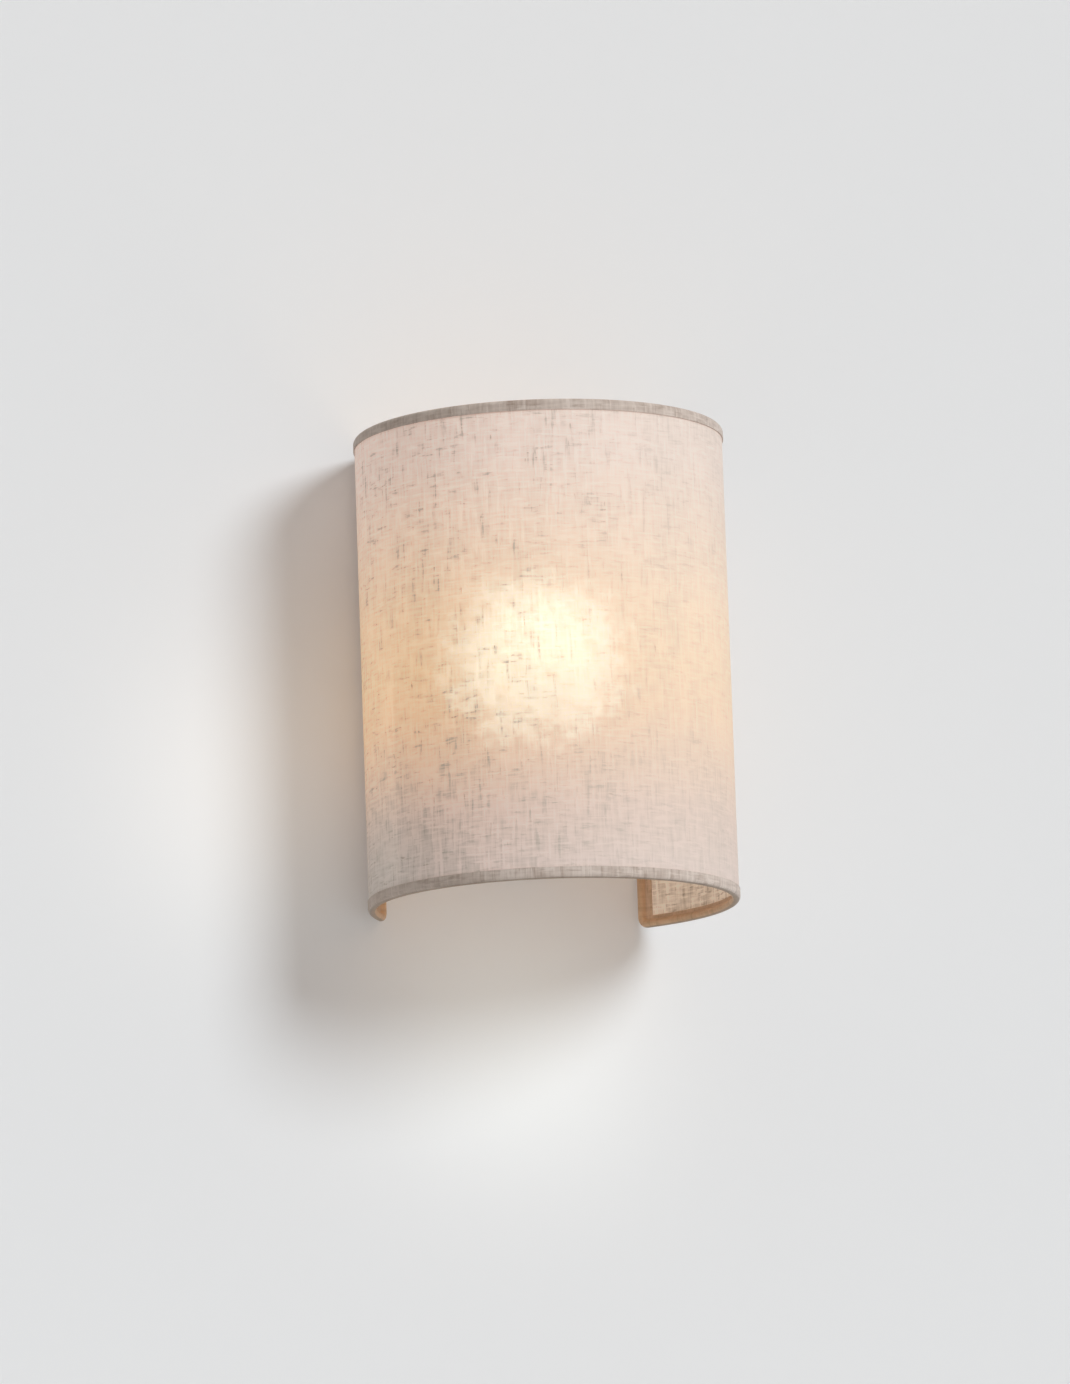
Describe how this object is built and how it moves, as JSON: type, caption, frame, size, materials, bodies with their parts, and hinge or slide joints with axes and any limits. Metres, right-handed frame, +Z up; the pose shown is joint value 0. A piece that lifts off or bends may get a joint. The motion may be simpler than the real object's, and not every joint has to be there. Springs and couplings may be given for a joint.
{
  "type": "fabric shade wall light",
  "caption": "Wall light with a tall C-shaped drum shade in natural linen with bound hems, open above and below, hung in front of a slim wall plate with an upright screw-in bulb",
  "frame": {"origin": "Centre of the wall plate's back face, on the wall plane and at half the height of the shade", "axes": "+Y into the wall, the light stands out toward -Y, +X to the right as seen from the room, +Z up"},
  "size_m": [0.2, 0.1667, 0.258],
  "materials": {
    "linen": "woven linen cloth with slubs, glows warm when lit from inside",
    "liner_sheet": "stiff translucent lining sheet",
    "binding_tape": "folded and rolled cloth binding",
    "frame_wire": "white coated steel wire",
    "bar_steel": "white coated flat steel",
    "plate_paint": "white powder coat, satin",
    "bracket_zinc": "zinc plated steel",
    "screw_steel": "zinc plated fixings",
    "grommet_rubber": "soft black rubber",
    "holder_plastic": "white heat-resistant plastic",
    "core_ceramic": "unglazed insulating body",
    "contact_brass": "plain brass",
    "opal_globe": "opal diffuser, lit warm white",
    "bulb_plastic": "white heat-conducting plastic",
    "cap_metal": "bright rolled metal",
    "insulator_black": "black vitreous insulator",
    "block_plastic": "milky polyamide",
    "lead_brown": "insulated wire",
    "lead_blue": "insulated wire",
    "lead_green_yellow": "insulated wire"
  },
  "bodies": {
    "wall_unit": {"wall_plate": "plate_paint", "lamp_bracket": "bracket_zinc", "bracket_screws": "screw_steel", "bracket_nuts": "screw_steel", "cable_grommet": "grommet_rubber", "holder_nipple": "bracket_zinc", "holder_locknut": "screw_steel", "holder_dome": "holder_plastic", "holder_sleeve": "holder_plastic", "holder_core": "core_ceramic", "holder_thread_shell": "contact_brass", "holder_spring_contact": "contact_brass", "holder_terminal_screws": "contact_brass", "terminal_block": "block_plastic", "terminal_tubes": "contact_brass", "terminal_screws": "screw_steel", "block_fixing_screws": "screw_steel", "earth_ring_terminal": "cap_metal", "earth_screw": "contact_brass", "live_lead": "lead_brown", "neutral_lead": "lead_blue", "earth_lead": "lead_green_yellow"},
    "shade": {"linen_cover": "linen", "shade_liner": "liner_sheet", "top_hem": "binding_tape", "bottom_hem": "binding_tape", "left_edge_hem": "binding_tape", "right_edge_hem": "binding_tape", "top_ring": "frame_wire", "bottom_ring": "frame_wire", "left_upright": "frame_wire", "right_upright": "frame_wire", "hanger_bar": "bar_steel"},
    "bulb": {"bulb_globe": "opal_globe", "bulb_body": "bulb_plastic", "bulb_screw_cap": "cap_metal", "bulb_insulator": "insulator_black", "bulb_contact": "cap_metal"}
  },
  "joints": [
    {"name": "shade_lift", "type": "slide", "parent": "wall_unit", "child": "shade", "axis": [0, 0, 1], "range_m": [0, 0.21]},
    {"name": "bulb_turn", "type": "hinge", "parent": "wall_unit", "child": "bulb", "pos_m": [0, -0.062, -0.05], "axis": [0, 0, 1], "range_deg": [0, 900]}
  ]
}
